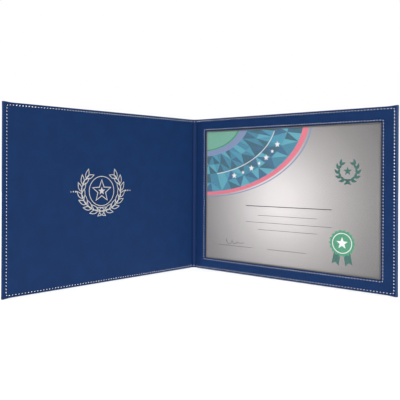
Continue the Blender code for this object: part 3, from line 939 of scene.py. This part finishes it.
def build_emblem(foil):
    """A laurel wreath with a star, in thin foil lines on the front lining."""
    emblem = Figures(FRONT, LINING_TOP)
    centre = EMBLEM_CENTRE
    flat = EMBLEM_FLATNESS
    for leaf in wreath_leaves(centre, EMBLEM_WREATH, EMBLEM_LEAVES, *EMBLEM_LEAF, flat):
        emblem.line(leaf, EMBLEM_STROKE, foil, closed=True)
    for way in (-1, 1):
        start, end = (270 + way * reach for reach in BRANCH_REACH)
        branch = round_points(centre, EMBLEM_WREATH, start, end, 40, flat)
        emblem.line(branch, EMBLEM_STROKE, foil, over=OVER_LEAVES)
    emblem.line(star_points(centre, EMBLEM_STAR), EMBLEM_STAR_STROKE, foil, closed=True)
    ring = round_points(centre, EMBLEM_RING, steps=64)
    emblem.line(ring, EMBLEM_STROKE, foil, closed=True)
    emblem.plate(star_points(centre, EMBLEM_INNER_STAR), foil)
    for way in (-1, 1):
        for n, radius in enumerate(DOT_RADII):
            spot = (centre[0] + way * (DOTS_START + DOTS_STEP * n), centre[1])
            emblem.plate(round_points(spot, radius, steps=16), foil)
    emblem.finish("front_emblem", "front_cover")


# The print's places on the sheet, as (u, z), and how far it stays from the sheet's edges
ROSETTE_CENTRE = (236.0, 58.0)
LAUREL_CENTRE = (243.0, 150.0)
PRINT_MARGIN = 0.3


def build_print(inks):
    """A generic printed form on the sheet: a corner of coloured rings, rules and a rosette."""
    sheet = Figures(BACK, SHEET_TOP)
    corner = (SHEET_BOX[0].x + PRINT_MARGIN, SHEET_BOX[1].z - PRINT_MARGIN)
    print_corner(sheet, corner, inks)
    print_rules(sheet, inks["black"])
    print_rosette(sheet, ROSETTE_CENTRE, inks)
    print_laurel(sheet, LAUREL_CENTRE, inks["dark_green"])
    sheet.finish("certificate_print", "certificate")


# The coloured rings about the corner, by their radii along u, the triangles between, and
# the white arc and stars on them, at angles in degrees
RING_FLATNESS = 0.62
GREEN_RADIUS = 66.0
GREEN_RIM_RADIUS = 69.0
LILAC_RADIUS = 82.0
TEAL_RADIUS = 168.0
PINK_RADIUS = 176.0
THIN_RING = (179.0, 181.0)
ARC_RADIUS = 126.0
ARC_START = 12
ARC_SWEEP = 66
ARC_WIDTH = 0.9
STARS_RADIUS = 140.0
STARS_START = 24
STARS_STEP = 7
STAR_SIZES = (4.6, 3.0)
TRIANGLE_ROWS = 4
TRIANGLE_COLUMNS = 15
OVER_RINGS = 0.03


def ring_point(corner, radius, angle_deg):
    """(u, z) on a flattened quarter ring below the sheet's upper corner."""
    return spot_at(corner, radius, math.radians(angle_deg), flat=-RING_FLATNESS)


def ring_piece(corner, inner, outer, steps=40):
    """The outline of a quarter ring, or of a quarter disc where inner is 0."""
    angles = [90.0 * n / steps for n in range(steps + 1)]
    outline = [ring_point(corner, outer, angle) for angle in angles]
    if inner == 0:
        return outline + [corner]
    return outline + [ring_point(corner, inner, angle) for angle in reversed(angles)]


def print_corner(sheet, corner, inks):
    """Quarter rings about the sheet's upper corner beside the crease."""
    sheet.plate(ring_piece(corner, 0, GREEN_RADIUS), inks["green"])
    sheet.plate(ring_piece(corner, GREEN_RADIUS, GREEN_RIM_RADIUS), inks["deep_green"])
    sheet.plate(ring_piece(corner, GREEN_RIM_RADIUS, LILAC_RADIUS), inks["lilac"])
    print_triangles(sheet, corner, [inks[f"teal_{n}"] for n in range(1, 6)])
    sheet.plate(ring_piece(corner, TEAL_RADIUS, PINK_RADIUS), inks["pink"])
    sheet.plate(ring_piece(corner, *THIN_RING), inks["lilac"])
    angles = [ARC_START + ARC_SWEEP * n / 40 for n in range(41)]
    arc = [ring_point(corner, ARC_RADIUS, angle) for angle in angles]
    sheet.line(arc, ARC_WIDTH, inks["white"], over=OVER_RINGS)
    for n in range(7):
        spot = ring_point(corner, STARS_RADIUS, STARS_START + STARS_STEP * n)
        star = star_points(spot, STAR_SIZES[n % 2])
        sheet.plate(star, inks["white"], over=OVER_RINGS)


def print_triangles(sheet, corner, tones):
    """The widest ring: rows of triangles, each in a tone by chance."""
    chance = random.Random(7)
    row_width = (TEAL_RADIUS - LILAC_RADIUS) / TRIANGLE_ROWS
    for row in range(TRIANGLE_ROWS):
        inner = LILAC_RADIUS + row_width * row
        for column in range(TRIANGLE_COLUMNS):
            ends = [90.0 * (column + n) / TRIANGLE_COLUMNS for n in (0, 1)]
            near = [ring_point(corner, inner, angle) for angle in ends]
            wide = [ring_point(corner, inner + row_width, angle) for angle in ends]
            if (row + column) % 2:
                cells = [(near[0], wide[0], wide[1]), (near[0], wide[1], near[1])]
            else:
                cells = [(near[0], wide[0], near[1]), (wide[0], wide[1], near[1])]
            for cell in cells:
                sheet.plate(cell, chance.choice(tones))


# The blank lines, each as (middle, length, z, width), and the flourish over one of them,
# with the reach of its loops along u and z
WIDE_RULE = 130.0
SHORT_RULE = 90.0
NAME_RULE = 58.0
RULES = (
    (157.0, WIDE_RULE, 100.0, 1.0),
    (157.0, SHORT_RULE, 87.0, 0.5),
    (157.0, WIDE_RULE, 77.0, 0.5),
    (157.0, SHORT_RULE, 67.0, 0.5),
    (73.0, NAME_RULE, 40.0, 0.5),
    (157.0, NAME_RULE, 40.0, 0.5),
)
FLOURISH_START = (56.0, 45.5)
FLOURISH_LENGTH = 34
FLOURISH_TURNS = 22
FLOURISH_LOOP = (1.6, 4.4)
FLOURISH_WIDTH = 0.55


def print_rules(sheet, ink):
    """Blank lines to write on, and a flourish that spells nothing."""
    for middle, length, z, width in RULES:
        sheet.line([(middle - length / 2, z), (middle + length / 2, z)], width, ink)
    flourish = []
    for n in range(61):
        share = n / 60
        turn = share * FLOURISH_TURNS
        u = FLOURISH_START[0] + FLOURISH_LENGTH * share + FLOURISH_LOOP[0] * math.cos(turn)
        z = FLOURISH_START[1] + FLOURISH_LOOP[1] * math.sin(turn) * (1 - share)
        flourish.append((u, z))
    sheet.line(flourish, FLOURISH_WIDTH, ink)


# The rosette: its scalloped edge, the outer and inner radius of its ring, its star, how
# high those four lie over the sheet, and the tail on one side
ROSETTE_RADIUS = 16.5
ROSETTE_SCALLOP = 0.9
SCALLOPS = 18
ROSETTE_RING = (13.2, 12.2)
ROSETTE_STAR = 8.0
ROSETTE_LAYERS = (0.03, 0.036, 0.042, 0.05)
ROSETTE_TAIL = ((1.0, -6.0), (9.5, -6.0), (14.0, -27.0), (8.8, -24.4), (4.4, -29.0))


def print_rosette(sheet, centre, inks):
    """A plain rosette with two tails."""
    for way in (-1, 1):
        tail = [(centre[0] + way * u, centre[1] + z) for u, z in ROSETTE_TAIL]
        sheet.plate(tail, inks["dark_green"])
    edge = []
    steps = 8 * SCALLOPS
    for n in range(steps):
        angle = 2 * math.pi * n / steps
        reach = ROSETTE_RADIUS + ROSETTE_SCALLOP * math.cos(SCALLOPS * angle)
        edge.append(spot_at(centre, reach, angle))
    rings = [round_points(centre, radius) for radius in ROSETTE_RING]
    outlines = (edge, *rings, star_points(centre, ROSETTE_STAR))
    for n, (outline, over) in enumerate(zip(outlines, ROSETTE_LAYERS)):
        sheet.plate(outline, inks["white" if n % 2 else "deep_green"], over)


def print_laurel(sheet, centre, ink):
    """A small laurel with a star."""
    for leaf in wreath_leaves(centre, radius=13.0, leaves=6, length=8.0, width=3.4):
        sheet.plate(leaf, ink)
    sheet.plate(star_points(centre, radius=6.0), ink)


# Materials


def new_material(name):
    """A material, its nodes, its links and its shader."""
    material = bpy.data.materials.new(name)
    material.use_nodes = True
    nodes = material.node_tree.nodes
    return material, nodes, material.node_tree.links, nodes["Principled BSDF"]


def noise(nodes, links, scale, detail=3.0, roughness=0.55):
    """A noise in the object's own coordinates, scale per metre."""
    place_node = nodes.new("ShaderNodeTexCoord")
    texture = nodes.new("ShaderNodeTexNoise")
    texture.inputs["Scale"].default_value = scale
    texture.inputs["Detail"].default_value = detail
    texture.inputs["Roughness"].default_value = roughness
    links.new(place_node.outputs["Object"], texture.inputs["Vector"])
    return texture.outputs["Fac"]


def ramp(nodes, links, source, stops):
    """Colours or greys along a 0 to 1 value, as (place, colour)."""
    node = nodes.new("ShaderNodeValToRGB")
    elements = node.color_ramp.elements
    for n, (place_at, colour) in enumerate(stops):
        element = elements[n] if n < 2 else elements.new(place_at)
        element.position = place_at
        element.color = (*colour, 1.0)
    links.new(source, node.inputs["Fac"])
    return node.outputs["Color"]


def grey(value):
    return (value, value, value)


def tint(colour, share):
    return tuple(channel * share for channel in colour)


def bump(nodes, links, source, strength, distance, shader):
    """Makes a shader's surface look uneven by up to that distance, in metres."""
    node = nodes.new("ShaderNodeBump")
    node.inputs["Strength"].default_value = strength
    node.inputs["Distance"].default_value = distance
    links.new(source, node.inputs["Height"])
    links.new(node.outputs["Normal"], shader.inputs["Normal"])


# Colours, in linear light
NAVY = (0.0058, 0.026, 0.093)
# Painted shade: the leather's colour where the creases and the seams' furrows lie in shade
PAINTED_SHADE_NAVY = (0.0036, 0.0163, 0.07)
# Painted highlight: the leather's colour where a cover's rounded outer edge catches the light
PAINTED_HIGHLIGHT_NAVY = (0.024, 0.05, 0.128)
GREY_BOARD = ((0.24, 0.225, 0.2), (0.34, 0.32, 0.29))
# The tan card is dark enough to stand partly for the frame's soft shadow on the sheet, a painted shadow
TAN_CARD = ((0.125, 0.11, 0.083), (0.175, 0.155, 0.115))
PAPER_TINT = (0.985, 0.925, 0.915)

# The paper's shades from its brightest point, (u, z), outwards to PAPER_FADE metres from it
PAPER_BRIGHTEST = (145.4, 111.8)
PAPER_FADE = 0.16
PAPER_SHADES = (
    (0.0, 0.757),
    (0.12, 0.737),
    (0.3, 0.597),
    (0.45, 0.449),
    (0.6, 0.345),
    (0.8, 0.231),
    (1.0, 0.156),
)


def mixed_by(nodes, links, attribute, colour, other):
    """Mixes a colour towards another by a value kept at the vertices."""
    kept = nodes.new("ShaderNodeAttribute")
    kept.attribute_name = attribute
    mixed = nodes.new("ShaderNodeMix")
    mixed.data_type = "RGBA"
    mixed.inputs["B"].default_value = (*other, 1.0)
    links.new(kept.outputs["Fac"], mixed.inputs["Factor"])
    links.new(colour, mixed.inputs["A"])
    return mixed.outputs["Result"]


def leather_material(name):
    """Leatherette: a soft mottle, a fine pebble grain and an uneven satin gloss."""
    material, nodes, links, shader = new_material(name)
    mottle = noise(nodes, links, 55.0, detail=2.0)
    colour = ramp(nodes, links, mottle, [(0.3, tint(NAVY, 0.92)), (0.7, tint(NAVY, 1.08))])
    # Painted shade at the creases and in the seams' furrows, then a painted highlight on the covers' outer
    # edges
    colour = mixed_by(nodes, links, "painted_shade", colour, PAINTED_SHADE_NAVY)
    colour = mixed_by(nodes, links, "edge_painted_highlight", colour, PAINTED_HIGHLIGHT_NAVY)
    links.new(colour, shader.inputs["Base Color"])
    gloss = noise(nodes, links, 900.0)
    satin = ramp(nodes, links, gloss, [(0.3, grey(0.54)), (0.7, grey(0.68))])
    links.new(satin, shader.inputs["Roughness"])
    shader.inputs["Specular IOR Level"].default_value = 0.12
    grain_place = nodes.new("ShaderNodeTexCoord")
    grain = nodes.new("ShaderNodeTexVoronoi")
    grain.inputs["Scale"].default_value = 1300.0
    links.new(grain_place.outputs["Object"], grain.inputs["Vector"])
    bump(nodes, links, grain.outputs["Distance"], 0.35, 0.0001, shader)
    return material


def thread_material():
    """Silver-grey sewing thread with fine fibres."""
    material, nodes, links, shader = new_material("silver_thread")
    fibres = noise(nodes, links, 2500.0)
    stops = [(0.3, grey(0.76)), (0.7, (0.93, 0.935, 0.95))]
    links.new(ramp(nodes, links, fibres, stops), shader.inputs["Base Color"])
    shader.inputs["Roughness"].default_value = 0.5
    bump(nodes, links, fibres, 0.3, 0.00005, shader)
    return material


def foil_material():
    """Warm silver foil, a little worn."""
    material, nodes, links, shader = new_material("silver_foil")
    wear_and_highlight = noise(nodes, links, 700.0)
    stops = [(0.35, (0.5, 0.49, 0.45)), (0.65, (0.62, 0.61, 0.57))]
    links.new(ramp(nodes, links, wear_and_highlight, stops), shader.inputs["Base Color"])
    shader.inputs["Metallic"].default_value = 0.3
    shader.inputs["Roughness"].default_value = 0.42
    bump(nodes, links, wear_and_highlight, 0.15, 0.00005, shader)
    return material


def card_material(name, dark, light):
    """Board or card with short fibres."""
    material, nodes, links, shader = new_material(name)
    fibres = noise(nodes, links, 420.0, detail=5.0, roughness=0.7)
    stops = [(0.3, dark), (0.7, light)]
    links.new(ramp(nodes, links, fibres, stops), shader.inputs["Base Color"])
    shader.inputs["Roughness"].default_value = 0.85
    bump(nodes, links, fibres, 0.3, 0.0001, shader)
    return material


def paper_material(obj, brightest):
    """Silver-grey paper, brightest near its middle and darker towards its edges."""
    material, nodes, links, shader = new_material("silver_grey_paper")
    place_node = nodes.new("ShaderNodeTexCoord")
    away = nodes.new("ShaderNodeVectorMath")
    away.operation = "DISTANCE"
    away.inputs[1].default_value = obj.matrix_world.inverted() @ brightest
    links.new(place_node.outputs["Object"], away.inputs[0])
    share = nodes.new("ShaderNodeMath")
    share.operation = "DIVIDE"
    share.inputs[1].default_value = PAPER_FADE
    links.new(away.outputs["Value"], share.inputs[0])
    shades = [(at, tint(PAPER_TINT, value)) for at, value in PAPER_SHADES]
    shade = ramp(nodes, links, share.outputs["Value"], shades)
    stops = [(0.3, grey(0.98)), (0.7, (1.0, 0.998, 0.995))]
    grain = ramp(nodes, links, noise(nodes, links, 1200.0), stops)
    mixed = nodes.new("ShaderNodeMix")
    mixed.data_type = "RGBA"
    mixed.blend_type = "MULTIPLY"
    mixed.inputs["Factor"].default_value = 1.0
    links.new(shade, mixed.inputs["A"])
    links.new(grain, mixed.inputs["B"])
    links.new(mixed.outputs["Result"], shader.inputs["Base Color"])
    shader.inputs["Roughness"].default_value = 0.6
    return material


def ink_material(name, colour):
    """Printed ink: the paper's grain shows through."""
    material, nodes, links, shader = new_material(name)
    grain = noise(nodes, links, 1200.0)
    stops = [(0.3, tint(colour, 0.93)), (0.7, tint(colour, 1.04))]
    links.new(ramp(nodes, links, grain, stops), shader.inputs["Base Color"])
    shader.inputs["Roughness"].default_value = 0.55
    return material


def film_material():
    """Clear film with a soft gloss."""
    material, nodes, links, shader = new_material("clear_film")
    haze = noise(nodes, links, 12.0, detail=1.0)
    soft = ramp(nodes, links, haze, [(0.3, grey(0.06)), (0.7, grey(0.14))])
    links.new(soft, shader.inputs["Roughness"])
    shader.inputs["Base Color"].default_value = (0.5, 0.52, 0.54, 1.0)
    shader.inputs["Alpha"].default_value = 0.04
    return material


INKS = {
    "green": (0.15, 0.38, 0.28),
    "deep_green": (0.04, 0.28, 0.145),
    "lilac": (0.19, 0.25, 0.42),
    "teal_1": (0.04, 0.21, 0.31),
    "teal_2": (0.055, 0.275, 0.39),
    "teal_3": (0.028, 0.12, 0.225),
    "teal_4": (0.085, 0.35, 0.44),
    "teal_5": (0.025, 0.11, 0.16),
    "pink": (0.71, 0.155, 0.22),
    "dark_green": (0.01, 0.11, 0.085),
    "white": (0.78, 0.78, 0.78),
    "black": (0.015, 0.015, 0.017),
}


def assign(node, material):
    """Gives a CAD node that stays visible its material."""
    obj = frame["nodes"][node]
    obj.data.materials.clear()
    obj.data.materials.append(material)


def dress_cad_nodes():
    """Materials for the CAD nodes that no piece stands for."""
    board = card_material("grey_board", *GREY_BOARD)
    for node in ("back_cover_board", "front_cover_board", "spine_strip"):
        assign(node, board)
    assign("clear_window", film_material())
    brightest = place(BACK, PAPER_BRIGHTEST[0], SHEET_TOP, PAPER_BRIGHTEST[1])
    assign("certificate", paper_material(frame["nodes"]["certificate"], brightest))


# Studio


def build_floor():
    """A wide pale floor just under the holder."""
    size = 3.0
    thickness = 0.02
    bm = bmesh.new()
    corners = [(-size, -size), (size, -size), (size, size), (-size, size)]
    top = -(CORNER_SWELL + 0.05) * MM
    low = [bm.verts.new((x, y, top - thickness)) for x, y in corners]
    high = [bm.verts.new((x, y, top)) for x, y in corners]
    bm.faces.new(high)
    bm.faces.new(low[::-1])
    band(bm, low, high)
    material, nodes, links, shader = new_material("pale_floor")
    tone = ramp(nodes, links, noise(nodes, links, 3.0), [(0.3, grey(0.36)), (0.7, grey(0.38))])
    links.new(tone, shader.inputs["Base Color"])
    shader.inputs["Roughness"].default_value = 0.9
    shader.inputs["Emission Color"].default_value = (1.0, 1.0, 1.0, 1.0)
    shader.inputs["Emission Strength"].default_value = 0.66
    new_object("floor", bm, [material])


def add_soft_light(name, comes_from, share, spread_deg):
    """A very wide, distant light that gives a white surface facing it that share of white."""
    light = bpy.data.lights.new(name, "SUN")
    light.energy = share * math.pi
    light.angle = math.radians(spread_deg)
    obj = bpy.data.objects.new(name, light)
    obj.rotation_euler = (-Vector(comes_from)).to_track_quat("-Z", "Y").to_euler()
    bpy.context.scene.collection.objects.link(obj)


def build_lights():
    """A white room seen by the camera, a weaker fill and three wide soft lights."""
    world = bpy.data.worlds.new("white_room")
    bpy.context.scene.world = world
    world.use_nodes = True
    nodes = world.node_tree.nodes
    links = world.node_tree.links
    fill = nodes["Background"]
    fill.inputs["Color"].default_value = (1.0, 1.0, 1.0, 1.0)
    fill.inputs["Strength"].default_value = 0.14
    seen = nodes.new("ShaderNodeBackground")
    seen.inputs["Color"].default_value = (1.0, 1.0, 1.0, 1.0)
    path = nodes.new("ShaderNodeLightPath")
    mix = nodes.new("ShaderNodeMixShader")
    links.new(path.outputs["Is Camera Ray"], mix.inputs[0])
    links.new(fill.outputs["Background"], mix.inputs[1])
    links.new(seen.outputs["Background"], mix.inputs[2])
    links.new(mix.outputs["Shader"], nodes["World Output"].inputs["Surface"])
    add_soft_light("front_light", (0.0, -0.82, 0.57), 1.16, 50.0)
    add_soft_light("top_light", (0.0, 0.1, 1.0), 0.25, 60.0)
    add_soft_light("back_light", (0.0, 0.9, 0.45), 0.5, 60.0)


def build_camera():
    """The photo's view: a level camera a little left of the holder's middle."""
    data = bpy.data.cameras.new("photo_view")
    data.lens = 48.023
    data.sensor_width = 36.0
    data.shift_x = 0.025895
    data.shift_y = -0.072682
    camera = bpy.data.objects.new("photo_view", data)
    camera.location = Vector((-45.049, AXIS_Y - 827.159, 149.525)) * MM
    camera.rotation_euler = (math.pi / 2, math.radians(-0.2517), math.radians(-2.6138))
    bpy.context.scene.collection.objects.link(camera)
    bpy.context.scene.camera = camera
    bpy.context.scene.view_settings.view_transform = "Standard"


lining = leather_material("navy_lining")
thread = thread_material()
build_covers(leather_material("navy_leatherette"), lining)
build_frame(lining)
build_window_card(card_material("tan_card", *TAN_CARD))
build_stitches(thread)
build_emblem(foil_material())
build_print({name: ink_material(f"ink_{name}", colour) for name, colour in INKS.items()})
dress_cad_nodes()
build_floor()
build_lights()
build_camera()
